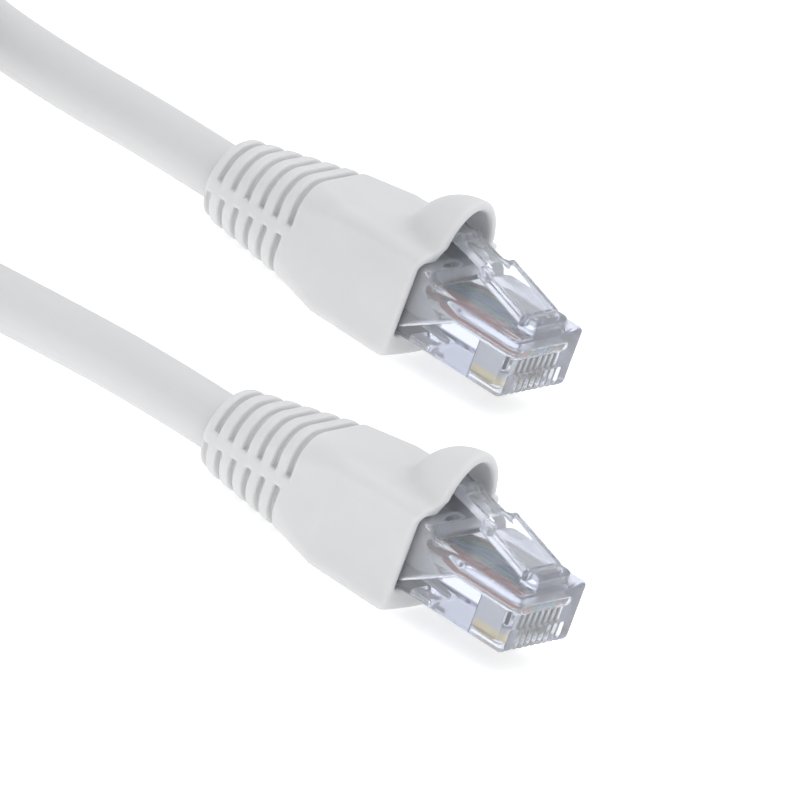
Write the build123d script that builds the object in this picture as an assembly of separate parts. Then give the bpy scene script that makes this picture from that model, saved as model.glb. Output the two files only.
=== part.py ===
from build123d import *
import math
import os

# An unshielded eight-wire patch cable, 1 m nominal, lying on a flat surface.
# +X is the way both plugs point, +Z is up, and z = 0 is the surface.
# Each end is drawn in its own frame: x = 0 at the plug's nose, y = 0 on the
# plug's centre plane, z = 0 on the surface. place_end() then puts it in the row.

# Round cable
CABLE_D = 6.2
JACKET_WALL = 0.5
WIRE_D = 0.9

# Where the two ends lie
END_STAGGER = 40.0
END_SPACING = 51.0
PLUG_LIFT = 2.9

# Modular plug
PLUG_W = 11.68
PLUG_L = 21.46
NOSE_H = 6.6
REAR_H = 8.0
STEP_X = -12.4
STEP_RUN = 0.9
EDGE_R = 0.3
CONTACT_COUNT = 8
CONTACT_PITCH = 1.02
CONTACT_T = 0.35
CONTACT_X = (-5.0, -1.75)
CONTACT_Z = (0.45, 4.12)
BLADE_EDGE_R = 0.5
PRONG_X = (-4.4, -3.4, -2.4)
PRONG_HALF_W = 0.3
PRONG_TOP_Z = 4.8
PRONG_FOOT_Z = 4.02
SLOT_W = 0.5
SLOT_GAP = 0.1
SLOT_TOP_Z = 4.1
COMB_TOP_Z = 2.3
WIRE_Z = 4.6
WIRE_END_X = -0.95
CHANNEL_H = 1.1
CHANNEL_W = 8.4
CHANNEL_START_X = -8.4
CHANNEL_END_X = -0.65
CAVITY_W = 9.6
CAVITY_H = 6.7
CAVITY_Z = 4.0
CAVITY_FRONT_X = -14.0
CAVITY_CORNER_R = 0.2
CRIMP_X = (-13.0, -10.2)
CRIMP_W = 7.4
CRIMP_DEPTH = 0.35

# Latch, hinged on the nose's upper front edge
HINGE_X = -1.9
HINGE_R = 0.75
HINGE_GAP = 0.05
ROOT_FRONT_X = -0.35
ROOT_SINK = 0.5
ROOT_EDGE_R = 0.6
LATCH_W = 6.0
ARM_RUN = 7.1
ARM_SLOPE = 17.0
TAIL_FRONT_LAP = 0.5
TAIL_W = 3.5
TAIL_T = 1.2
TAIL_END_X = -16.4
TAIL_SLOPE = 12.5
BUMP_BACK = 4.0
BUMP_R = 0.45

# Snagless boot: sections (x, width, height, underside z, corner radius)
BOOT_SECTIONS = (
    (-41.5, 9.0, 9.0, 0.6, 4.4),
    (-29.2, 12.3, 11.5, 0.3, 3.2),
    (-24.0, 13.7, 11.8, 0.0, 1.4),
    (-14.0, 13.7, 12.0, 0.0, 1.4),
)
MIN_CORNER_R = 0.3
BORE_CLEARANCE = 0.05
GROOVE_COUNT = 6
GROOVE_FIRST_X = -29.7
GROOVE_PITCH = 2.05
GROOVE_W = 0.8
GROOVE_DEPTH = 0.9
GROOVE_STAGGER = 0.7
SPINE_H = 1.6
SPINE_Z = 6.0
SPINE_FALL = 0.1
HOOD_FRONT_X = -12.9
HOOD_REAR_X = -19.9
HOOD_W = 9.5
HOOD_TOP_Z = 17.8
HOOD_WALL = 1.4
HOOD_BASE_Z = 11.2
HOOD_CROWN = 0.6
TUNNEL_W = 6.4
TUNNEL_REAR_X = -18.4

# Cable inside the boot: rises from the boot's tail to the plug's cavity
STUB_END_X = -14.4
STUB_POINTS = ((-41.5, 5.1), (-34.0, 5.1), (-25.0, 6.9), (-14.4, 6.9))
CORE_START_X = -19.0
FAN_START_X = -13.6
FAN_END_X = -9.4
BUNDLE_PITCH = 1.1
BUNDLE_RISE = 1.0
WIRE_BEND_R = 8.0

# Free cable: (x, y, z) of the route's points from each boot to the coil
LEAD_A_POINTS = (
    (-40.75, 25.5, 5.1),
    (-51.0, 25.5, 5.1),
    (-62.5, 25.9, 4.4),
    (-75.5, 27.9, 3.7),
    (-88.5, 31.9, 3.75),
    (-100.5, 35.4, 3.8),
    (-110.75, 36.9, 3.8),
)
LEAD_B_POINTS = (
    (-0.75, -25.5, 5.1),
    (-11.5, -25.5, 5.1),
    (-24.5, -25.8, 4.3),
    (-41.0, -27.0, 3.35),
    (-58.0, -29.8, 3.25),
    (-74.0, -33.3, 4.2),
    (-88.0, -35.9, 6.8),
    (-100.0, -36.7, 9.3),
    (-110.75, -36.9, 10.0),
)
RUN_SHARE = 0.45

# Coil of the put-away length: two turns wide, two turns high
COIL_X = -110.75
COIL_TURNS = 3.5
COIL_MEAN_R = 33.75
COIL_TURN_OFFSET = 3.15
COIL_LIFT = 0.7
COIL_SECTION = 12.5
COIL_CORNER_R = 3.0
TIE_T = 0.7
TIE_W = 9.0

ENDS = ("a", "b")
BOOT_REAR_X = BOOT_SECTIONS[0][0]
END_X = (-(BOOT_REAR_X + END_STAGGER) / 2, (END_STAGGER - BOOT_REAR_X) / 2)
END_Y = (END_SPACING / 2, -END_SPACING / 2)
CABLE_R = CABLE_D / 2
HINGE_Z = PLUG_LIFT + NOSE_H + HINGE_R + HINGE_GAP
OVERCUT = 1.0
WIDE = 30.0


def block(x_range, y_range, z_range):
    """A box between two corners."""
    spans = (x_range, y_range, z_range)
    sizes = [high - low for low, high in spans]
    middle = [(high + low) / 2 for low, high in spans]
    return Pos(*middle) * Box(*sizes)


def centred_block(x_range, width, z_range):
    """A box centred on the plug's centre plane."""
    return block(x_range, (-width / 2, width / 2), z_range)


def plug_block(x_range, width, z_range):
    """A centred box whose heights are counted from the plug's underside."""
    low, high = z_range
    return centred_block(x_range, width, (low + PLUG_LIFT, high + PLUG_LIFT))


def side_plate(points, width):
    """A plate of an x-z outline, its thickness centred on the centre plane."""
    outline = Plane.XZ * make_face(Polyline(*points, close=True))
    return extrude(outline, amount=width / 2, both=True)


def cross_section(x, width, height, z_low, corner_r):
    """A rounded rectangle that faces +X."""
    plane = Plane(origin=(x, 0, z_low + height / 2), x_dir=(0, 1, 0), z_dir=(1, 0, 0))
    return plane * RectangleRounded(width, height, corner_r)


def rod_across(x, z, radius, width):
    """A cylinder along Y, centred on the centre plane."""
    return Pos(x, 0, z) * Rot(90, 0, 0) * Cylinder(radius, width)


def contact_y(index):
    """Centre of contact and wire number index, counted from the -Y side."""
    return (index - (CONTACT_COUNT - 1) / 2) * CONTACT_PITCH


def bend_radii(points):
    """The largest arc for each corner that its two runs leave room for."""
    vectors = [Vector(*point) for point in points]
    radii = []
    for before, corner, after in zip(vectors, vectors[1:], vectors[2:]):
        run_in = corner - before
        run_out = after - corner
        half_turn = math.radians(run_in.get_angle(run_out)) / 2
        radii.append(RUN_SHARE * min(run_in.length, run_out.length) / math.tan(half_turn))
    return radii


def tube(points, radius, radii):
    """A round rod along straight runs joined by tangent arcs."""
    path = FilletPolyline(*points, radius=radii)
    start = Plane(origin=path @ 0, z_dir=path % 0)
    rod = sweep(start * Circle(radius), path=path)
    expected = math.pi * radius ** 2 * path.length
    assert abs(rod.volume - expected) < 0.01 * expected
    return rod, path.length


# ---- pieces of one end -----------------------------------------------------

def make_plug_housing():
    """Clear moulding: stepped body, wire cavity, contact slots and latch root."""
    outline = (
        (0, 0), (0, NOSE_H), (STEP_X + STEP_RUN, NOSE_H), (STEP_X, REAR_H),
        (-PLUG_L, REAR_H), (-PLUG_L, 0),
    )
    body = side_plate([(x, z + PLUG_LIFT) for x, z in outline], PLUG_W)
    body = fillet(body.edges().filter_by(Axis.X), EDGE_R)

    root_height = (PLUG_LIFT + NOSE_H - ROOT_SINK, HINGE_Z + HINGE_R)
    root = centred_block((HINGE_X, ROOT_FRONT_X), LATCH_W, root_height)
    top_edges = root.edges().filter_by(Axis.Y).group_by(Axis.Z)[-1]
    root = fillet(top_edges.sort_by(Axis.X)[-1], ROOT_EDGE_R)
    seat = rod_across(HINGE_X, HINGE_Z, HINGE_R + HINGE_GAP, LATCH_W + OVERCUT)
    body = body + root - seat

    cavity_low = CAVITY_Z - CAVITY_H / 2
    cavity_height = (cavity_low, cavity_low + CAVITY_H)
    rear = plug_block((-PLUG_L - OVERCUT, CAVITY_FRONT_X), CAVITY_W, cavity_height)
    channel_low = WIRE_Z - CHANNEL_H / 2
    channel_height = (channel_low, channel_low + CHANNEL_H)
    channel = plug_block((CHANNEL_START_X, CHANNEL_END_X), CHANNEL_W, channel_height)
    wide_end = cross_section(
        CAVITY_FRONT_X, CAVITY_W, CAVITY_H, PLUG_LIFT + cavity_low, CAVITY_CORNER_R,
    )
    flat_end = cross_section(
        CHANNEL_START_X, CHANNEL_W, CHANNEL_H, PLUG_LIFT + channel_low, CAVITY_CORNER_R,
    )
    funnel = loft([wide_end, flat_end], ruled=True)
    body = body - rear - funnel - channel

    slot_x = (CONTACT_X[0] - SLOT_GAP, CONTACT_X[1] + SLOT_GAP)
    for index in range(CONTACT_COUNT):
        across = (contact_y(index) - SLOT_W / 2, contact_y(index) + SLOT_W / 2)
        body -= block(slot_x, across, (0, PLUG_LIFT + SLOT_TOP_Z))
        body -= block((CONTACT_X[1], OVERCUT), across, (0, PLUG_LIFT + COMB_TOP_Z))
    body -= plug_block(CRIMP_X, CRIMP_W, (-OVERCUT, CRIMP_DEPTH))
    return body


def make_latch_tab():
    """Sprung tab: round root, wide arm with locking shoulders, narrow tail."""
    arm_angle = math.radians(ARM_SLOPE)
    tail_rise = math.tan(math.radians(TAIL_SLOPE))
    arm_end_x = HINGE_X - ARM_RUN
    arm_end_z = HINGE_Z + ARM_RUN * math.tan(arm_angle)
    tail_end_z = arm_end_z + (arm_end_x - TAIL_END_X) * tail_rise
    lean = (HINGE_R * math.sin(arm_angle), HINGE_R * math.cos(arm_angle))
    arm = side_plate(
        [
            (HINGE_X + lean[0], HINGE_Z + lean[1]),
            (arm_end_x + lean[0], arm_end_z + lean[1]),
            (arm_end_x - lean[0], arm_end_z - lean[1]),
            (HINGE_X - lean[0], HINGE_Z - lean[1]),
        ],
        LATCH_W,
    )
    root = rod_across(HINGE_X, HINGE_Z, HINGE_R, LATCH_W)
    tail_front_x = arm_end_x + TAIL_FRONT_LAP
    tail = side_plate(
        [
            (tail_front_x, arm_end_z + TAIL_T / 2),
            (TAIL_END_X, tail_end_z + TAIL_T / 2),
            (TAIL_END_X, tail_end_z - TAIL_T / 2),
            (tail_front_x, arm_end_z - TAIL_T / 2),
        ],
        TAIL_W,
    )
    bump_x = arm_end_x - BUMP_BACK
    bump_z = arm_end_z + BUMP_BACK * tail_rise + TAIL_T / 2
    bump = rod_across(bump_x, bump_z, BUMP_R, TAIL_W)
    return arm + root + tail + bump


def make_contact(index):
    """Thin blade with rounded lower edges and three piercing prongs."""
    blade = plug_block(CONTACT_X, CONTACT_T, CONTACT_Z)
    lower_edges = blade.edges().filter_by(Axis.Y).group_by(Axis.Z)[0]
    blade = fillet(lower_edges, BLADE_EDGE_R)
    for x in PRONG_X:
        prong = ((x - PRONG_HALF_W, PRONG_FOOT_Z), (x, PRONG_TOP_Z), (x + PRONG_HALF_W, PRONG_FOOT_Z))
        blade += side_plate([(px, pz + PLUG_LIFT) for px, pz in prong], CONTACT_T)
    return Pos(0, contact_y(index), 0) * blade


def make_wire(index):
    """One insulated wire, from the jacket's mouth to its place under a contact."""
    row = index % 2
    pair_y = (index // 2 - (CONTACT_COUNT / 2 - 1) / 2) * BUNDLE_PITCH
    bundle_y = pair_y + (row - 0.5) * BUNDLE_PITCH / 2
    bundle_z = PLUG_LIFT + CAVITY_Z + (row - 0.5) * BUNDLE_RISE
    flat_y = contact_y(index)
    flat_z = PLUG_LIFT + WIRE_Z
    points = (
        (CORE_START_X, bundle_y, bundle_z),
        (FAN_START_X, bundle_y, bundle_z),
        (FAN_END_X, flat_y, flat_z),
        (WIRE_END_X, flat_y, flat_z),
    )
    wire, _ = tube(points, WIRE_D / 2, WIRE_BEND_R)
    return wire


def stub_route():
    """The cable's centre line inside the boot."""
    points = [(x, 0, z) for x, z in STUB_POINTS]
    return points, bend_radii(points)


def make_cable_end():
    """The jacketed cable inside the boot, hollow where its wires come free."""
    points, radii = stub_route()
    jacket, _ = tube(points, CABLE_R, radii)
    mouth = Plane(origin=(CORE_START_X, 0, PLUG_LIFT + CAVITY_Z), z_dir=(1, 0, 0))
    bore = extrude(mouth * Circle(CABLE_R - JACKET_WALL), amount=STUB_END_X - CORE_START_X + OVERCUT)
    return jacket - bore


def boot_body(inset):
    """The boot's tapering outer form, shrunk across by inset."""
    sections = []
    for x, width, height, z_low, corner_r in BOOT_SECTIONS:
        inner_r = max(corner_r - inset, MIN_CORNER_R)
        sections.append(cross_section(x, width - 2 * inset, height - 2 * inset, z_low + inset, inner_r))
    return loft(sections, ruled=True)


def make_grooves():
    """Flex grooves that stop at a spine along each side."""
    core = boot_body(GROOVE_DEPTH)
    grooves = []
    for index in range(GROOVE_COUNT):
        upper_x = GROOVE_FIRST_X - index * GROOVE_PITCH
        spine_z = SPINE_Z - index * SPINE_FALL
        above = (spine_z + SPINE_H / 2, WIDE)
        below = (-OVERCUT, spine_z - SPINE_H / 2)
        for x, heights in ((upper_x, above), (upper_x - GROOVE_STAGGER, below)):
            cut = centred_block((x - GROOVE_W / 2, x + GROOVE_W / 2), WIDE, heights)
            grooves.append(cut - core)
    return grooves


def hood_shell(inset):
    """A scoop over the latch tail, open to the front, shrunk by inset."""
    half_width = HOOD_W / 2 - inset
    rise = HOOD_TOP_Z - HOOD_BASE_Z - inset
    run = HOOD_FRONT_X - HOOD_REAR_X - inset
    facing_front = Plane(origin=(HOOD_FRONT_X, 0, HOOD_BASE_Z), x_dir=(0, 1, 0), z_dir=(-1, 0, 0))
    arch = extrude(facing_front * Ellipse(half_width, rise), amount=run)
    facing_side = Plane(origin=(HOOD_FRONT_X, 0, HOOD_BASE_Z), x_dir=(1, 0, 0), z_dir=(0, -1, 0))
    profile = extrude(facing_side * Ellipse(run, rise + HOOD_CROWN), amount=HOOD_W, both=True)
    return arch & profile


def make_boot():
    """Soft moulding: plug pocket, latch hood, taper and grooved strain relief."""
    boot = boot_body(0) + hood_shell(0)
    boot -= plug_block(
        (-PLUG_L - BORE_CLEARANCE, 0),
        PLUG_W + 2 * BORE_CLEARANCE,
        (-BORE_CLEARANCE, REAR_H + BORE_CLEARANCE),
    )
    points, radii = stub_route()
    bore, _ = tube(points, CABLE_R + BORE_CLEARANCE, radii)
    boot -= bore
    tunnel = centred_block((TUNNEL_REAR_X, 0), TUNNEL_W, (PLUG_LIFT + REAR_H, HOOD_TOP_Z))
    boot -= tunnel & (hood_shell(HOOD_WALL) + centred_block((-WIDE, 0), WIDE, (0, HOOD_BASE_Z)))
    for groove in make_grooves():
        boot -= groove
    return boot


# ---- the free cable --------------------------------------------------------

def make_coil():
    """Outer shape of the wound turns, as one closed ring."""
    section = Plane(origin=(COIL_X + COIL_MEAN_R, 0, COIL_LIFT + COIL_SECTION / 2), z_dir=(0, -1, 0))
    ring = section * RectangleRounded(COIL_SECTION, COIL_SECTION, COIL_CORNER_R)
    return revolve(ring, Axis((COIL_X, 0, 0), (0, 0, 1)))


def make_coil_tie(coil):
    """Strap round the bundle on the coil's far side."""
    size = COIL_SECTION + 2 * TIE_T
    arc = math.degrees(TIE_W / COIL_MEAN_R)
    section = Plane(origin=(COIL_X + COIL_MEAN_R, 0, COIL_LIFT + COIL_SECTION / 2), z_dir=(0, -1, 0))
    strap = revolve(
        section * RectangleRounded(size, size, COIL_CORNER_R),
        Axis((COIL_X, 0, 0), (0, 0, 1)),
        revolution_arc=arc,
    )
    turn = Pos(COIL_X, 0, 0) * Rot(0, 0, 180 - arc / 2) * Pos(-COIL_X, 0, 0)
    return turn * strap - coil


def make_lead(points, name):
    """The free cable from one boot to where it runs into the coil."""
    radii = bend_radii(points)
    lead, length = tube(points, CABLE_R, radii)
    print(name, "arc radii", [round(radius, 1) for radius in radii], "length", round(length, 1))
    return lead, length


# ---- build and write -------------------------------------------------------

def place_end(shape, end_index):
    """Moves a piece from the end's own frame into the row."""
    return Pos(END_X[end_index], END_Y[end_index], 0) * shape


def build_end():
    """Every piece of one end, by name."""
    pieces = {
        "plug_housing": make_plug_housing(),
        "latch_tab": make_latch_tab(),
        "boot": make_boot(),
        "cable_end": make_cable_end(),
    }
    for index in range(CONTACT_COUNT):
        pieces[f"contact_{index + 1}"] = make_contact(index)
        pieces[f"wire_{index + 1}"] = make_wire(index)
    return pieces


def main():
    os.makedirs("parts", exist_ok=True)
    nodes = {}
    for name, shape in build_end().items():
        for end_index, end_name in enumerate(ENDS):
            nodes[f"{name}_{end_name}"] = place_end(shape, end_index)

    coil = make_coil()
    lead_a, length_a = make_lead(LEAD_A_POINTS, "lead a")
    lead_b, length_b = make_lead(LEAD_B_POINTS, "lead b")
    nodes["cable_lead_a"] = lead_a
    nodes["cable_lead_b"] = lead_b
    nodes["cable_coil"] = coil
    nodes["coil_tie"] = make_coil_tie(coil)

    turns = 2 * math.pi * (COIL_TURNS * COIL_MEAN_R - COIL_TURN_OFFSET / 2)
    print("free cable length", round(length_a + length_b + turns, 1))
    for name, shape in nodes.items():
        export_step(shape, f"parts/{name}.step")


main()
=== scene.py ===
import math

import bpy
import numpy as np
import openvdb
from mathutils import Matrix, Vector


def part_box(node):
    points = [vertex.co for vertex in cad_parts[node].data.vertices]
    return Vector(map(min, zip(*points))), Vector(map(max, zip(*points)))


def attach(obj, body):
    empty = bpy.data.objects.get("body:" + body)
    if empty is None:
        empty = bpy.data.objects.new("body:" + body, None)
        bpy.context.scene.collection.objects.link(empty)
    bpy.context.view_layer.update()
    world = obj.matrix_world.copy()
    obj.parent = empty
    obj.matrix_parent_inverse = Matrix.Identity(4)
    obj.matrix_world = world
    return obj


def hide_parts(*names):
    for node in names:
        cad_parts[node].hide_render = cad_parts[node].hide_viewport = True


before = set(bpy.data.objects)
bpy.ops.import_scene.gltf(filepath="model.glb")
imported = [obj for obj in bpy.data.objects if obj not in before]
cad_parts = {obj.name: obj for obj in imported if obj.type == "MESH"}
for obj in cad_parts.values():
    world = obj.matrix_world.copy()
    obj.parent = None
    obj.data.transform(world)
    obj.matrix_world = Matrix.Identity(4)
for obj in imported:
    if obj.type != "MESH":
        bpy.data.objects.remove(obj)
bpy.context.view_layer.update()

MM = 0.001
ENDS = ("a", "b")
ROOT = "cable_body"

# The cable's diameter and where each end lies, mm
CABLE_D = 6.2
NOSE = {end: Vector(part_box(f"plug_housing_{end}")[1]) / MM for end in ENDS}
MID_Y = {end: sum(corner[1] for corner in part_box(f"boot_{end}")) / 2 / MM for end in ENDS}


# ---- camera ----------------------------------------------------------------

def add_camera():
    """A long lens, so that both ends look the same size, rolled as the view is."""
    azimuth = math.radians(30.25)
    elevation = math.radians(21.53)
    roll = math.radians(20.5)
    distance = 3.5
    frame_width = 0.0801
    aim_behind_nose = 7.22
    aim_inside_end = 11.5
    aim_z = -0.27
    target = Vector((NOSE["a"].x - aim_behind_nose, MID_Y["a"] - aim_inside_end, aim_z)) * MM

    back = Vector((
        math.sin(azimuth) * math.cos(elevation),
        -math.cos(azimuth) * math.cos(elevation),
        math.sin(elevation),
    ))
    level_right = Vector((math.cos(azimuth), math.sin(azimuth), 0))
    level_up = back.cross(level_right)
    right = level_right * math.cos(roll) + level_up * math.sin(roll)
    up = back.cross(right)

    data = bpy.data.cameras.new("camera")
    data.sensor_width = 36
    data.lens = data.sensor_width * distance / frame_width
    data.clip_end = 100
    camera = bpy.data.objects.new("camera", data)
    bpy.context.scene.collection.objects.link(camera)
    camera.matrix_world = Matrix.Translation(target + back * distance) @ Matrix(
        (right, up, back)
    ).transposed().to_4x4()
    bpy.context.scene.camera = camera


add_camera()


# ---- free cable ------------------------------------------------------------
# The route's points and the coil's sizes, mm. The coil crosses over at three
# coil places, given in turns from its start.

LEAD_A_POINTS = (
    (-40.75, 25.5, 5.1),
    (-51.0, 25.5, 5.1),
    (-62.5, 25.9, 4.4),
    (-75.5, 27.9, 3.7),
    (-88.5, 31.9, 3.75),
    (-100.5, 35.4, 3.8),
    (-110.75, 36.9, 3.8),
)
LEAD_B_POINTS = (
    (-0.75, -25.5, 5.1),
    (-11.5, -25.5, 5.1),
    (-24.5, -25.8, 4.3),
    (-41.0, -27.0, 3.35),
    (-58.0, -29.8, 3.25),
    (-74.0, -33.3, 4.2),
    (-88.0, -35.9, 6.8),
    (-100.0, -36.7, 9.3),
    (-110.75, -36.9, 10.0),
)
COIL_X = -110.75
COIL_MEAN_R = 33.75
COIL_TURN_OFFSET = 3.15
COIL_LOW_Z = 3.8
COIL_HIGH_Z = 10.0
COIL_TURNS = 3.5
POINTS_PER_TURN = 16
TURN_GOES_IN = 0.84
TURN_GOES_UP = 1.68
TURN_GOES_OUT = 2.52
CROSS_OVER = 0.15


def ease(value, start, run):
    """0 before start, 1 after start + run, and smooth between."""
    t = min(max((value - start) / run, 0.0), 1.0)
    return t * t * (3 - 2 * t)


def coil_points():
    """Three and a half turns: outside and inside below, then inside and outside above."""
    # A quadratic spline's turns have this share of their points' radius.
    step = 2 * math.pi / POINTS_PER_TURN
    drawn_in = 0.75 + 0.25 * math.cos(step)
    points = []
    for index in range(1, int(COIL_TURNS * POINTS_PER_TURN)):
        turn = index / POINTS_PER_TURN
        inward = ease(turn, TURN_GOES_IN, CROSS_OVER) - ease(turn, TURN_GOES_OUT, CROSS_OVER)
        upward = ease(turn, TURN_GOES_UP, CROSS_OVER)
        radius = COIL_MEAN_R + COIL_TURN_OFFSET * (1 - 2 * inward)
        height = COIL_LOW_Z + (COIL_HIGH_Z - COIL_LOW_Z) * upward
        angle = math.pi / 2 + turn * 2 * math.pi
        points.append((
            COIL_X + radius / drawn_in * math.cos(angle),
            radius / drawn_in * math.sin(angle),
            height,
        ))
    return points


# ---- strap round the coil --------------------------------------------------
# A loop strap wound once round the bundle and then about a fifth of a turn
# more, its free end lying over its start.

BUNDLE_LOW_Z = 0.7
BUNDLE_SIZE = 12.5
BUNDLE_CORNER_R = 3.0
STRAP_W = 9.0
STRAP_T = 0.65
STRAP_GAP = 0.02
STRAP_CROWN = 0.06
STRAP_EDGE_R = 0.18
STRAP_TURNS = 1.22
LAP_TURN = 0.93
LAP_RUN = 0.09
LAP_GAP = 0.05
STRAP_STEPS = 132
STRAP_COLUMNS = 12
STRAP_START = math.radians(20)


def bundle_outline(angle, outset):
    """Point at this angle on the bundle's rounded square, moved outwards."""
    half = BUNDLE_SIZE / 2 + outset
    corner = BUNDLE_CORNER_R + outset
    across, up = math.cos(angle), math.sin(angle)
    reach = half / max(abs(across), abs(up))
    a, u = abs(across) * reach, abs(up) * reach
    straight = half - corner
    if a > straight and u > straight:
        middle = Vector((straight, straight))
        ray = Vector((abs(across), abs(up)))
        along = ray.dot(middle)
        reach = along + math.sqrt(along ** 2 - middle.length_squared + corner ** 2)
        a, u = ray.x * reach, ray.y * reach
    return math.copysign(a, across), math.copysign(u, up)


def add_strap():
    """The strap, as a woven band with a slightly crowned face."""
    verts = []
    faces = []
    columns = STRAP_COLUMNS + 1
    for step in range(STRAP_STEPS + 1):
        turn = STRAP_TURNS * step / STRAP_STEPS
        lap = ease(turn, LAP_TURN, LAP_RUN)
        outset = STRAP_T / 2 + STRAP_GAP + (STRAP_T + LAP_GAP) * lap
        across, up = bundle_outline(STRAP_START + turn * 2 * math.pi, outset)
        for column in range(columns):
            share = 2 * column / STRAP_COLUMNS - 1
            crown = STRAP_CROWN * (1 - share ** 4)
            swing = share * STRAP_W / 2 / COIL_MEAN_R
            radius = COIL_MEAN_R + across * (1 + crown / BUNDLE_SIZE)
            verts.append((
                COIL_X - radius * math.cos(swing),
                radius * math.sin(swing),
                BUNDLE_LOW_Z + BUNDLE_SIZE / 2 + up,
            ))
    for step in range(STRAP_STEPS):
        for column in range(STRAP_COLUMNS):
            low = step * columns + column
            faces.append((low, low + 1, low + columns + 1, low + columns))
    mesh = bpy.data.meshes.new("strap")
    mesh.from_pydata([tuple(value * MM for value in vert) for vert in verts], [], faces)
    mesh.polygons.foreach_set("use_smooth", [True] * len(mesh.polygons))
    strap = bpy.data.objects.new("strap", mesh)
    bpy.context.scene.collection.objects.link(strap)
    wall = strap.modifiers.new("wall", "SOLIDIFY")
    wall.thickness = STRAP_T * MM
    wall.offset = 0
    edge = strap.modifiers.new("edge", "BEVEL")
    edge.width = STRAP_EDGE_R * MM
    edge.segments = 2
    edge.limit_method = "ANGLE"
    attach(strap, ROOT)
    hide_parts("coil_tie")
    return strap


strap = add_strap()


# ---- the cable itself ------------------------------------------------------

def add_cable():
    """The whole free cable, boot to boot, as one smooth cord."""
    route = list(LEAD_A_POINTS) + coil_points() + list(reversed(LEAD_B_POINTS))
    data = bpy.data.curves.new("free_cable", "CURVE")
    data.dimensions = "3D"
    data.bevel_depth = 1.0
    data.bevel_resolution = 8
    data.resolution_u = 10
    data.use_fill_caps = True
    spline = data.splines.new("NURBS")
    spline.points.add(len(route) - 1)
    for point, place in zip(spline.points, route):
        point.co = (*(value * MM for value in place), 1)
        point.radius = CABLE_D / 2 * MM
    spline.order_u = 3
    spline.use_endpoint_u = True
    spline.use_smooth = True
    cable = bpy.data.objects.new("free_cable", data)
    bpy.context.scene.collection.objects.link(cable)
    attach(cable, ROOT)
    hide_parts("cable_lead_a", "cable_lead_b", "cable_coil")
    return cable


cable = add_cable()


# ---- soft boot -------------------------------------------------------------
# The boot is a signed distance field in the end's own frame (x = 0 at the
# plug's nose, y = 0 on its centre plane, z = 0 on the floor, in mm): negative
# inside, so unions, cuts and rounded joins are minima and maxima.

BOOT_X = (-41.5, -29.2, -24.0, -14.0)
BOOT_HALF_W = (4.55, 6.2, 6.85, 6.85)
BOOT_LOW = (0.55, 0.3, 0.05, 0.05)
BOOT_TOP = (9.65, 11.9, 12.0, 12.1)
BOOT_CORNER_R = (4.45, 3.3, 1.6, 1.3)
PLUG_LIFT = 2.9
PLUG_W = 11.68
PLUG_REAR_H = 8.0
PLUG_L = 21.46
GROOVE_FIRST_X = -29.7
GROOVE_PITCH = 2.05
GROOVE_COUNT = 6
GROOVE_HALF_W = 0.36
GROOVE_DEPTH = 0.85
GROOVE_STAGGER = 0.75
GROOVE_BOTTOM_R = 0.25
GROOVE_EDGE_R = 0.35
SPINE_Z = 6.1
SPINE_FALL = 0.16
SPINE_HALF_H = 0.75
TAIL_EDGE_R = 0.7
MOUTH_X = -13.6
MOUTH_EDGE_R = 0.5
LIP_H = 1.8
LIP_BULGE = 0.9
LIP_SET_BACK = 1.0
HOOD_FRONT_X = -12.7
HOOD_RUN = 7.0
HOOD_BASE_Z = 11.2
HOOD_RISE = 6.6
DOME_FOOT_Z = 8.0
HOOD_HALF_W = 4.75
HOOD_WALL = 1.1
HOOD_BLEND = 1.6
HOOD_LEAN_Z = 10.5
HOOD_LEAN_H = 2.5
POCKET_GAP = 0.1
POCKET_CORNER_R = 0.4
SCOOP_LAP = 0.3
TUNNEL_END_X = -17.2
TUNNEL_HALF_W = 3.5
TUNNEL_Z = 11.4
TUNNEL_HALF_H = 1.0
TUNNEL_BLEND = 0.6
BORE_X = (-34.0, -25.0)
BORE_Z = (5.1, 6.9)
BORE_GAP = 0.02
BOOT_FIELD_BOX = ((-42.5, -7.7, -0.8), (-11.8, 7.7, 18.8))
BOOT_STEP = 0.18


def smooth_min(a, b, blend):
    """The lower of two fields, rounded over this distance where they meet."""
    h = np.clip(0.5 + 0.5 * (b - a) / blend, 0, 1)
    return b + (a - b) * h - blend * h * (1 - h)


def smooth_max(a, b, blend):
    """The higher of two fields, rounded over this distance where they meet."""
    return -smooth_min(-a, -b, blend)


def rounded_rectangle(across, up, half_w, half_h, corner_r):
    """Distance to a rounded rectangle centred on zero."""
    qa = np.abs(across) - half_w + corner_r
    qu = np.abs(up) - half_h + corner_r
    outside = np.hypot(np.maximum(qa, 0), np.maximum(qu, 0))
    return outside + np.minimum(np.maximum(qa, qu), 0) - corner_r


def boot_form(x, y, z):
    """The boot's tapering outer form, without ends."""
    low = np.interp(x, BOOT_X, BOOT_LOW)
    top = np.interp(x, BOOT_X, BOOT_TOP)
    return rounded_rectangle(
        y, z - (low + top) / 2,
        np.interp(x, BOOT_X, BOOT_HALF_W), (top - low) / 2,
        np.interp(x, BOOT_X, BOOT_CORNER_R),
    )


def quarter_dome(x, y, z, inset):
    """The hood's dome over the latch tail, shrunk by inset."""
    run = HOOD_RUN - inset
    half_w = HOOD_HALF_W - inset
    rise = HOOD_RISE - inset
    back = np.minimum(x - HOOD_FRONT_X, 0)
    scaled = np.sqrt((back / run) ** 2 + (y / half_w) ** 2 + ((z - HOOD_BASE_Z) / rise) ** 2)
    return (scaled - 1) * min(run, half_w, rise)


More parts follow.
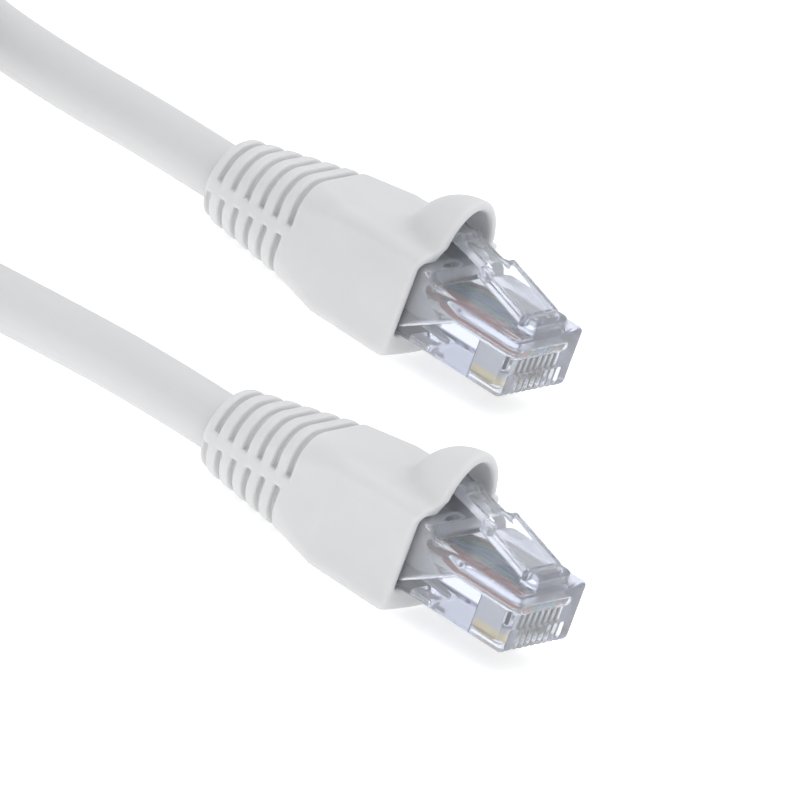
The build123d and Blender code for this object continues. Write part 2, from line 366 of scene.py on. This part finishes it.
def groove_cuts(x, z, body):
    """Flex grooves: over the top and under the belly, with a spine between them."""
    far = 10.0
    cuts = np.full(x.shape, far)
    bottom = -(body + GROOVE_DEPTH)
    for index in range(GROOVE_COUNT):
        middle = GROOVE_FIRST_X - index * GROOVE_PITCH
        spine_z = SPINE_Z - SPINE_FALL * index
        upper = np.maximum(np.abs(x - middle) - GROOVE_HALF_W, spine_z + SPINE_HALF_H - z)
        lower = np.maximum(
            np.abs(x - middle + GROOVE_STAGGER) - GROOVE_HALF_W, z - spine_z + SPINE_HALF_H,
        )
        cuts = np.minimum(cuts, smooth_max(np.minimum(upper, lower), bottom, GROOVE_BOTTOM_R))
    return cuts


def boot_outside(x, y, z):
    """The boot with its hood and grooves, cut off at the tail and at the mouth."""
    body = boot_form(x, y, z)
    shape = smooth_max(body, -groove_cuts(x, z, body), GROOVE_EDGE_R)
    dome = np.maximum(quarter_dome(x, y, z, 0), DOME_FOOT_Z - z)
    shape = smooth_min(shape, dome, HOOD_BLEND)

    lip = LIP_BULGE * (1 - (y / BOOT_HALF_W[-1]) ** 2) - LIP_SET_BACK
    lip_share = np.clip((LIP_H - z) / LIP_H, 0, 1) ** 2
    hood_share = np.clip((z - HOOD_LEAN_Z) / HOOD_LEAN_H, 0, 1)
    front = MOUTH_X + lip_share * lip + hood_share * (HOOD_FRONT_X - MOUTH_X)
    shape = smooth_max(shape, x - front, MOUTH_EDGE_R)
    return smooth_max(shape, BOOT_X[0] - x, TAIL_EDGE_R)


def boot_hollow(x, y, z):
    """The plug's pocket, the room for the latch tail and the cable's bore."""
    pocket = rounded_rectangle(
        y, z - PLUG_LIFT - PLUG_REAR_H / 2,
        PLUG_W / 2 + POCKET_GAP, PLUG_REAR_H / 2 + POCKET_GAP, POCKET_CORNER_R,
    )
    pocket = np.maximum(pocket, -PLUG_L - POCKET_GAP - x)
    scoop = np.maximum(quarter_dome(x, y, z, HOOD_WALL), PLUG_LIFT + PLUG_REAR_H - SCOOP_LAP - z)
    tunnel = np.maximum(np.abs(y) - TUNNEL_HALF_W, TUNNEL_END_X - x)
    tunnel = np.maximum(tunnel, np.abs(z - TUNNEL_Z) - TUNNEL_HALF_H)
    hollow = np.minimum(pocket, smooth_min(scoop, tunnel, TUNNEL_BLEND))
    bore = np.hypot(y, z - np.interp(x, BORE_X, BORE_Z)) - CABLE_D / 2 - BORE_GAP
    return np.minimum(hollow, bore)


def boot_field(x, y, z):
    """The whole boot."""
    return smooth_max(boot_outside(x, y, z), -boot_hollow(x, y, z), MOUTH_EDGE_R)


def field_mesh(name, field, low, high, step):
    """Quads on the surface where a distance field is zero."""
    counts = [int((top - bottom) / step) + 1 for bottom, top in zip(low, high)]
    axes = [bottom + step * np.arange(count) for bottom, count in zip(low, counts)]
    values = field(*np.meshgrid(*axes, indexing="ij")).astype(np.float32)
    grid = openvdb.FloatGrid(1.0)
    grid.copyFromArray(values)
    points, quads = grid.convertToQuads(isovalue=0.0)
    points = np.asarray(points) * step + np.asarray(low)
    mesh = bpy.data.meshes.new(name)
    mesh.from_pydata(points.tolist(), [], np.asarray(quads).tolist())
    mesh.polygons.foreach_set("use_smooth", [True] * len(mesh.polygons))
    mesh.update()
    return mesh


def place_in_end(mesh, end, name):
    """A copy of a mesh drawn in an end's own frame, put at that end's place."""
    placed = mesh.copy()
    placed.name = name
    place = Matrix.Translation((NOSE[end].x * MM, MID_Y[end] * MM, 0))
    placed.transform(place @ Matrix.Scale(MM, 4))
    piece = bpy.data.objects.new(name, placed)
    bpy.context.scene.collection.objects.link(piece)
    return piece


def add_boots():
    """Both boots, as copies of one mesh."""
    boots = []
    shape = field_mesh("boot_shape", boot_field, *BOOT_FIELD_BOX, BOOT_STEP)
    for end in ENDS:
        boot = place_in_end(shape, end, f"boot_skin_{end}")
        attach(boot, ROOT)
        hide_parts(f"boot_{end}")
        boots.append(boot)
    return boots


boots = add_boots()


# ---- clear plug ------------------------------------------------------------
# Also distance fields, in the end's own frame but with z = 0 on the plug's
# underside: soft moulded edges, a wire funnel, contact slots and a comb. Names
# with _X or _Z and two values give where a feature starts and ends.

CLEAR_STEP = 0.15
HOUSING_FIELD_BOX = ((-22.1, -6.3, -0.6), (0.6, 6.3, 8.9))
LATCH_FIELD_BOX = ((-17.0, -3.5, 6.2), (-1.3, 3.5, 12.9))
ABOVE_PLUG = 9
NOSE_H = 6.6
STEP_X = (-12.4, -11.5)
PLUG_EDGE_R = 0.7
PLUG_TOP_EDGE_R = 0.5
CONTACT_PITCH = 1.02
CONTACT_COUNT = 8
SLOT_HALF_W = 0.27
SLOT_X = (-5.1, -1.65)
SLOT_TOP = 4.1
SLOT_SIDE_R = 0.12
SLOT_EDGE_R = 0.15
COMB_TOP = 2.4
COMB_LAP = 0.2
CAVITY_X = (-14.0, -8.4)
CAVITY_HALF_W = (4.8, 4.2)
CAVITY_LOW = (0.65, 4.05)
CAVITY_TOP = (7.35, 5.15)
CAVITY_CORNER_R = 0.5
CAVITY_EDGE_R = 0.3
CHANNEL_END_X = -0.65
CRIMP_LOW = (-13.0, -3.7, -1)
CRIMP_HIGH = (-10.2, 3.7, 0.4)
CRIMP_CORNER_R = 0.3
CRIMP_EDGE_R = 0.2
HINGE_X = -1.9
HINGE_Z = 7.4
ROOT_X = (-2.6, -0.45)
ROOT_Z = (5.8, HINGE_Z + 0.7)
ROOT_CORNER_R = 0.6
ROOT_BLEND = 0.5
LATCH_EDGE_R = 0.3
ARM_HALF_W = 3
ARM_T = 1.35
ARM_SLOPE = math.tan(math.radians(17))
ARM_END_X = -9.0
TAIL_SLOPE = math.tan(math.radians(12.5))
TAIL_END_X = -16.4
TAIL_T = 1.15
TAIL_HALF_W = 1.75
TAIL_LAP = 0.8
TAIL_BLEND = 0.5
BUMP_BEHIND_ARM = 4.0
BUMP_R = 0.45
BUMP_HALF_W = 1.7


def box_field(x, y, z, low, high, corner_r):
    """Distance to a box with rounded edges."""
    parts = []
    for value, bottom, top in zip((x, y, z), low, high):
        parts.append(np.abs(value - (bottom + top) / 2) - (top - bottom) / 2 + corner_r)
    outside = np.sqrt(sum(np.maximum(part, 0) ** 2 for part in parts))
    return outside + np.minimum(np.maximum(np.maximum(parts[0], parts[1]), parts[2]), 0) - corner_r


def housing_field(x, y, z):
    """The clear housing: stepped body, latch root, cavity, slots and comb."""
    top = np.interp(x, STEP_X, (PLUG_REAR_H, NOSE_H))
    shape = box_field(x, y, z, (-PLUG_L, -PLUG_W / 2, 0), (0, PLUG_W / 2, ABOVE_PLUG), PLUG_EDGE_R)
    shape = smooth_max(shape, z - top, PLUG_TOP_EDGE_R)
    root = box_field(
        x, y, z,
        (ROOT_X[0], -ARM_HALF_W, ROOT_Z[0]), (ROOT_X[1], ARM_HALF_W, ROOT_Z[1]), ROOT_CORNER_R,
    )
    shape = smooth_min(shape, root, ROOT_BLEND)

    half_w = np.interp(x, CAVITY_X, CAVITY_HALF_W)
    low = np.interp(x, CAVITY_X, CAVITY_LOW)
    high = np.interp(x, CAVITY_X, CAVITY_TOP)
    cavity = rounded_rectangle(
        y, z - (low + high) / 2, half_w, (high - low) / 2, CAVITY_CORNER_R,
    )
    cavity = smooth_max(cavity, x - CHANNEL_END_X, CAVITY_EDGE_R)
    shape = smooth_max(shape, -cavity, CAVITY_EDGE_R)

    last_slot = CONTACT_COUNT // 2 - 1
    nearest_slot = np.clip(np.round(y / CONTACT_PITCH - 0.5), -CONTACT_COUNT // 2, last_slot) + 0.5
    across = np.abs(y - nearest_slot * CONTACT_PITCH) - SLOT_HALF_W
    slot = np.maximum(np.abs(x - sum(SLOT_X) / 2) - (SLOT_X[1] - SLOT_X[0]) / 2, z - SLOT_TOP)
    comb = np.maximum(SLOT_X[1] - COMB_LAP - x, z - COMB_TOP)
    slots = smooth_max(np.minimum(slot, comb), across, SLOT_SIDE_R)
    shape = smooth_max(shape, -slots, SLOT_EDGE_R)

    crimp = box_field(x, y, z, CRIMP_LOW, CRIMP_HIGH, CRIMP_CORNER_R)
    return smooth_max(shape, -crimp, CRIMP_EDGE_R)


def latch_field(x, y, z):
    """The latch: a sloping arm, its locking shoulders, a narrow tail and a bump on it."""
    arm_z = HINGE_Z + (HINGE_X - x) * ARM_SLOPE
    arm = box_field(
        x, y, z - arm_z,
        (ARM_END_X, -ARM_HALF_W, -ARM_T / 2), (HINGE_X, ARM_HALF_W, ARM_T / 2), LATCH_EDGE_R,
    )
    tail_z = HINGE_Z + (HINGE_X - ARM_END_X) * ARM_SLOPE + (ARM_END_X - x) * TAIL_SLOPE
    tail = box_field(
        x, y, z - tail_z,
        (TAIL_END_X, -TAIL_HALF_W, -TAIL_T / 2),
        (ARM_END_X + TAIL_LAP, TAIL_HALF_W, TAIL_T / 2),
        LATCH_EDGE_R,
    )
    shape = smooth_min(arm, tail, TAIL_BLEND)
    bump = np.hypot(x - ARM_END_X + BUMP_BEHIND_ARM, z - tail_z - TAIL_T / 2) - BUMP_R
    bump = smooth_max(bump, np.abs(y) - BUMP_HALF_W, LATCH_EDGE_R)
    return smooth_min(shape, bump, LATCH_EDGE_R)


def add_clear_pieces():
    """Both housings and both latches, as copies of one housing mesh and one latch mesh."""
    shapes = (
        ("plug_clear", "plug_housing", housing_field, HOUSING_FIELD_BOX),
        ("latch_clear", "latch_tab", latch_field, LATCH_FIELD_BOX),
    )
    pieces = []
    for name, node, field, field_box in shapes:
        mesh = field_mesh(name, field, *field_box, CLEAR_STEP)
        mesh.transform(Matrix.Translation((0, 0, PLUG_LIFT)))
        for end in ENDS:
            piece = place_in_end(mesh, end, f"{name}_{end}")
            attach(piece, f"latch_{end}" if node == "latch_tab" else ROOT)
            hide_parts(f"{node}_{end}")
            pieces.append(piece)
    return pieces


clear_pieces = add_clear_pieces()


# ---- jacket's end inside the plug ------------------------------------------

JACKET_X = (-41.4, *BORE_X, -13.8)
JACKET_Z = (BORE_Z[0], *BORE_Z, BORE_Z[1])
JACKET_WALL = 0.5
JACKET_GAP = 0.01
JACKET_RINGS = 60
JACKET_SIDES = 48
LEAF_REACH = 4.2
LEAF_COUNT = 5
LEAF_TURNED = 0.35
LEAF_FULLNESS = 0.7
LEAF_DRAWN_IN = 0.5
LEAF_DROOP = 0.8


def add_jacket_ends():
    """The cable inside the boot, slit into pointed leaves where its wires come free."""
    verts = []
    faces = []
    for ring in range(JACKET_RINGS + 1):
        share = ring / JACKET_RINGS
        for side in range(JACKET_SIDES):
            angle = 2 * math.pi * side / JACKET_SIDES
            underside = 0.5 - 0.5 * math.sin(angle)
            wave = 0.5 + 0.5 * math.cos(LEAF_COUNT * (angle + LEAF_TURNED))
            leaf = wave ** LEAF_FULLNESS
            reach = JACKET_X[-1] + LEAF_REACH * underside * leaf
            x = JACKET_X[0] + (reach - JACKET_X[0]) * share
            past = max(x - JACKET_X[-1], 0) / LEAF_REACH
            radius = CABLE_D / 2 - JACKET_GAP - LEAF_DRAWN_IN * past
            middle = float(np.interp(x, JACKET_X, JACKET_Z)) - LEAF_DROOP * past
            verts.append((x, radius * math.cos(angle), middle + radius * math.sin(angle)))
    for ring in range(JACKET_RINGS):
        for side in range(JACKET_SIDES):
            after = (side + 1) % JACKET_SIDES
            low = ring * JACKET_SIDES
            high = low + JACKET_SIDES
            faces.append((low + side, low + after, high + after, high + side))
    mesh = bpy.data.meshes.new("jacket_end")
    mesh.from_pydata(verts, [], faces)
    mesh.polygons.foreach_set("use_smooth", [True] * len(mesh.polygons))
    ends = []
    for end in ENDS:
        piece = place_in_end(mesh, end, f"jacket_end_{end}")
        wall = piece.modifiers.new("wall", "SOLIDIFY")
        wall.thickness = JACKET_WALL * MM
        wall.offset = -1
        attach(piece, ROOT)
        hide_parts(f"cable_end_{end}")
        ends.append(piece)
    return ends


jacket_ends = add_jacket_ends()


# ---- materials -------------------------------------------------------------

class Recipe:
    """A material being made: its node tree, its shader and its coordinates."""

    def __init__(self, name):
        self.material = bpy.data.materials.new(name)
        self.material.use_nodes = True
        self.nodes = self.material.node_tree.nodes
        self.links = self.material.node_tree.links
        self.shader = self.nodes["Principled BSDF"]
        self.coordinates = self.nodes.new("ShaderNodeTexCoord").outputs["Object"]

    def set(self, **values):
        """Sets shader sockets, named with underscores for spaces."""
        for name, value in values.items():
            self.shader.inputs[name.replace("_", " ")].default_value = value

    def noise(self, scale, detail=2.0, stretch=(1, 1, 1)):
        """A noise texture's value, in cycles per metre, stretched along the axes."""
        mapping = self.nodes.new("ShaderNodeMapping")
        mapping.inputs["Scale"].default_value = stretch
        texture = self.nodes.new("ShaderNodeTexNoise")
        texture.inputs["Scale"].default_value = scale
        texture.inputs["Detail"].default_value = detail
        self.links.new(self.coordinates, mapping.inputs["Vector"])
        self.links.new(mapping.outputs["Vector"], texture.inputs["Vector"])
        return texture.outputs["Fac"]

    def ramp(self, value, *stops):
        """Colours by value: each stop is (position, colour)."""
        node = self.nodes.new("ShaderNodeValToRGB")
        ramp = node.color_ramp
        while len(ramp.elements) < len(stops):
            ramp.elements.new(0.5)
        for element, (position, color) in zip(ramp.elements, stops):
            element.position = position
            element.color = (*color, 1)
        self.links.new(value, node.inputs["Fac"])
        return node.outputs["Color"]

    def levels(self, value, low, high):
        """Stretches 0..1 to low..high."""
        node = self.nodes.new("ShaderNodeMapRange")
        node.inputs["To Min"].default_value = low
        node.inputs["To Max"].default_value = high
        self.links.new(value, node.inputs["Value"])
        return node.outputs["Result"]

    def drive(self, socket, value):
        """Links a node's value to a shader socket."""
        self.links.new(value, self.shader.inputs[socket])

    def bump(self, height, distance):
        """Relief of this depth in metres, added on top of what is there."""
        node = self.nodes.new("ShaderNodeBump")
        node.inputs["Distance"].default_value = distance
        self.links.new(height, node.inputs["Height"])
        for link in list(self.shader.inputs["Normal"].links):
            self.links.new(link.from_socket, node.inputs["Normal"])
        self.links.new(node.outputs["Normal"], self.shader.inputs["Normal"])


VINYL_DARKER = 0.955
SATIN_SPREAD = 0.08
RIPPLE_DEPTH = 3


def soft_white(name, color, roughness, grain_depth, stretch=(1, 1, 1)):
    """Moulded or extruded white vinyl: cloudy tone, satin patches and fine grain."""
    recipe = Recipe(name)
    darker = tuple(value * VINYL_DARKER for value in color)
    clouds = recipe.noise(scale=140, detail=3, stretch=stretch)
    satin = recipe.noise(scale=420, detail=2, stretch=stretch)
    grain = recipe.noise(scale=2600, detail=2, stretch=stretch)
    ripple = recipe.noise(scale=260, detail=1, stretch=stretch)
    recipe.drive("Base Color", recipe.ramp(clouds, (0.3, darker), (0.7, color)))
    recipe.drive("Roughness", recipe.levels(
        satin, low=roughness - SATIN_SPREAD, high=roughness + SATIN_SPREAD,
    ))
    recipe.set(Subsurface_Weight=0.5, Subsurface_Scale=0.0015, Specular_IOR_Level=0.45)
    recipe.shader.inputs["Subsurface Radius"].default_value = (1.0, 1.0, 1.0)
    recipe.bump(grain, grain_depth)
    recipe.bump(ripple, grain_depth * RIPPLE_DEPTH)
    return recipe.material


def clear_plastic():
    """Clear moulded plastic: smooth, faintly blue in its depth, with mould flow."""
    # The index is below polycarbonate's own, about 1.58, for a paler plug.
    recipe = Recipe("clear_polycarbonate")
    recipe.set(
        Base_Color=(0.955, 0.97, 1.0, 1),
        Transmission_Weight=0.86,
        IOR=1.43,
        Specular_IOR_Level=0.5,
    )
    haze = recipe.noise(scale=300, detail=2, stretch=(0.4, 1, 1))
    recipe.drive("Roughness", recipe.levels(haze, low=0.0, high=0.05))
    recipe.bump(recipe.noise(scale=180, detail=2, stretch=(0.3, 1, 1)), distance=0.00002)
    depth = recipe.nodes.new("ShaderNodeVolumeAbsorption")
    depth.inputs["Color"].default_value = (0.60, 0.68, 0.98, 1)
    depth.inputs["Density"].default_value = 40
    output = recipe.nodes["Material Output"]
    recipe.links.new(depth.outputs["Volume"], output.inputs["Volume"])
    return recipe.material


BLADE_Z = (0.4, 4.2)


def plated_contact():
    """Gold on the blade's wiping edge, nickel grey above it."""
    recipe = Recipe("contact_plating")
    split = recipe.nodes.new("ShaderNodeSeparateXYZ")
    recipe.links.new(recipe.coordinates, split.inputs["Vector"])
    height = recipe.nodes.new("ShaderNodeMapRange")
    height.inputs["From Min"].default_value = (PLUG_LIFT + BLADE_Z[0]) * MM
    height.inputs["From Max"].default_value = (PLUG_LIFT + BLADE_Z[1]) * MM
    recipe.links.new(split.outputs["Z"], height.inputs["Value"])
    tone = recipe.ramp(
        height.outputs["Result"],
        (0.0, (0.62, 0.50, 0.22)), (0.26, (0.58, 0.49, 0.26)),
        (0.34, (0.42, 0.43, 0.45)), (1.0, (0.49, 0.50, 0.52)),
    )
    recipe.drive("Base Color", tone)
    recipe.set(Metallic=1.0)
    rubbed = recipe.noise(scale=2400, detail=3, stretch=(1, 1, 0.2))
    recipe.drive("Roughness", recipe.levels(rubbed, low=0.22, high=0.42))
    recipe.bump(recipe.noise(scale=5200, detail=2, stretch=(1, 1, 0.1)), distance=0.000006)
    return recipe.material


WIRE_FADE = 0.8
STRIPE_SCALE = 300
STRIPE_SLANT = (0.05, 0, 1)


def wire_insulation(name, color, stripe):
    """Satin insulation, with slanting stripes on the white wires."""
    recipe = Recipe(name)
    if stripe is None:
        faded = tuple(value * WIRE_FADE for value in color)
        tone = recipe.ramp(recipe.noise(scale=900, detail=2), (0.35, faded), (0.65, color))
    else:
        mapping = recipe.nodes.new("ShaderNodeMapping")
        mapping.inputs["Scale"].default_value = STRIPE_SLANT
        wave = recipe.nodes.new("ShaderNodeTexWave")
        wave.bands_direction = "DIAGONAL"
        wave.inputs["Scale"].default_value = STRIPE_SCALE
        recipe.links.new(recipe.coordinates, mapping.inputs["Vector"])
        recipe.links.new(mapping.outputs["Vector"], wave.inputs["Vector"])
        tone = recipe.ramp(
            wave.outputs["Fac"],
            (0.0, color), (0.54, color), (0.62, stripe), (1.0, stripe),
        )
    recipe.drive("Base Color", tone)
    recipe.drive("Roughness", recipe.levels(recipe.noise(scale=1500, detail=2), low=0.3, high=0.45))
    recipe.bump(recipe.noise(scale=4000, detail=2), distance=0.000008)
    return recipe.material


def woven_strap():
    """White loop strap: a fine weave with a soft nap."""
    recipe = Recipe("tie_strap")
    weave = recipe.nodes.new("ShaderNodeTexVoronoi")
    weave.inputs["Scale"].default_value = 2400
    recipe.links.new(recipe.coordinates, weave.inputs["Vector"])
    tone = recipe.ramp(
        weave.outputs["Distance"], (0.0, (0.62, 0.62, 0.62)), (0.8, (0.75, 0.75, 0.75)),
    )
    recipe.drive("Base Color", tone)
    recipe.set(Roughness=0.9, Sheen_Weight=0.4)
    recipe.bump(weave.outputs["Distance"], distance=0.00012)
    return recipe.material


WIRE_WHITE = (0.82, 0.82, 0.80)
WIRE_COLORS = {
    "orange": (0.30, 0.05, 0.03),
    "green": (0.01, 0.20, 0.14),
    "blue": (0.04, 0.16, 0.32),
    "brown": (0.14, 0.05, 0.035),
}
WIRE_ORDER = (
    ("orange", True), ("orange", False), ("green", True), ("blue", False),
    ("blue", True), ("green", False), ("brown", True), ("brown", False),
)


def finish_node(name, material):
    """Gives a CAD node its material."""
    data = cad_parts[name].data
    data.materials.clear()
    data.materials.append(material)


def finish_cad_nodes():
    """Contacts and wires are the CAD model's own, with new materials."""
    plating = plated_contact()
    insulation = {
        (color, striped): wire_insulation(
            f"wire_{'white_' if striped else ''}{color}",
            WIRE_WHITE if striped else WIRE_COLORS[color],
            WIRE_COLORS[color] if striped else None,
        )
        for color, striped in WIRE_ORDER
    }
    for end in ENDS:
        for number, kind in enumerate(WIRE_ORDER, 1):
            finish_node(f"contact_{number}_{end}", plating)
            finish_node(f"wire_{number}_{end}", insulation[kind])


boot_vinyl = soft_white(
    "boot_vinyl", color=(0.685, 0.685, 0.687), roughness=0.46, grain_depth=0.000010,
)
jacket_vinyl = soft_white(
    "jacket_vinyl", color=(0.67, 0.67, 0.672), roughness=0.40, grain_depth=0.000006,
    stretch=(0.25, 1, 1),
)
clear = clear_plastic()
finish_cad_nodes()
cable.data.materials.append(jacket_vinyl)
strap.data.materials.append(woven_strap())
for pieces, material in ((boots, boot_vinyl), (clear_pieces, clear), (jacket_ends, jacket_vinyl)):
    for piece in pieces:
        piece.data.materials.append(material)


# ---- floor and light -------------------------------------------------------

def add_floor():
    """A plain pale tabletop, which gives off some light so that shadows stay faint."""
    bpy.ops.mesh.primitive_plane_add(size=6)
    floor = bpy.context.object
    floor.name = "floor"
    recipe = Recipe("floor")
    recipe.set(
        Roughness=0.7,
        Specular_IOR_Level=0.2,
        Emission_Color=(1, 1, 1, 1),
        Emission_Strength=0.55,
    )
    clouds = recipe.noise(scale=9, detail=3)
    tone = recipe.ramp(clouds, (0.3, (0.74, 0.74, 0.74)), (0.7, (0.76, 0.76, 0.76)))
    recipe.drive("Base Color", tone)
    floor.data.materials.append(recipe.material)


def add_area_light(name, place, size, power):
    """A square soft box that faces the object."""
    data = bpy.data.lights.new(name, "AREA")
    data.size = size
    data.energy = power
    light = bpy.data.objects.new(name, data)
    light.location = place
    light.rotation_mode = "QUATERNION"
    light.rotation_quaternion = Vector(place).to_track_quat("Z", "Y")
    bpy.context.scene.collection.objects.link(light)


def add_world():
    """A bright dome, a little darker towards the horizon."""
    world = bpy.data.worlds.new("studio")
    world.use_nodes = True
    nodes = world.node_tree.nodes
    links = world.node_tree.links
    direction = nodes.new("ShaderNodeTexCoord")
    split = nodes.new("ShaderNodeSeparateXYZ")
    ramp = nodes.new("ShaderNodeValToRGB")
    ramp.color_ramp.elements[0].position = 0.0
    ramp.color_ramp.elements[0].color = (0.62, 0.64, 0.68, 1)
    ramp.color_ramp.elements[1].position = 0.9
    ramp.color_ramp.elements[1].color = (1, 1, 1, 1)
    links.new(direction.outputs["Generated"], split.inputs["Vector"])
    links.new(split.outputs["Z"], ramp.inputs["Fac"])
    links.new(ramp.outputs["Color"], nodes["Background"].inputs["Color"])
    nodes["Background"].inputs["Strength"].default_value = 1.0
    bpy.context.scene.world = world


add_floor()
add_area_light("key", place=(0.1, 0.15, 1.0), size=0.7, power=2.0)
add_world()
bpy.context.scene.view_settings.view_transform = "Standard"
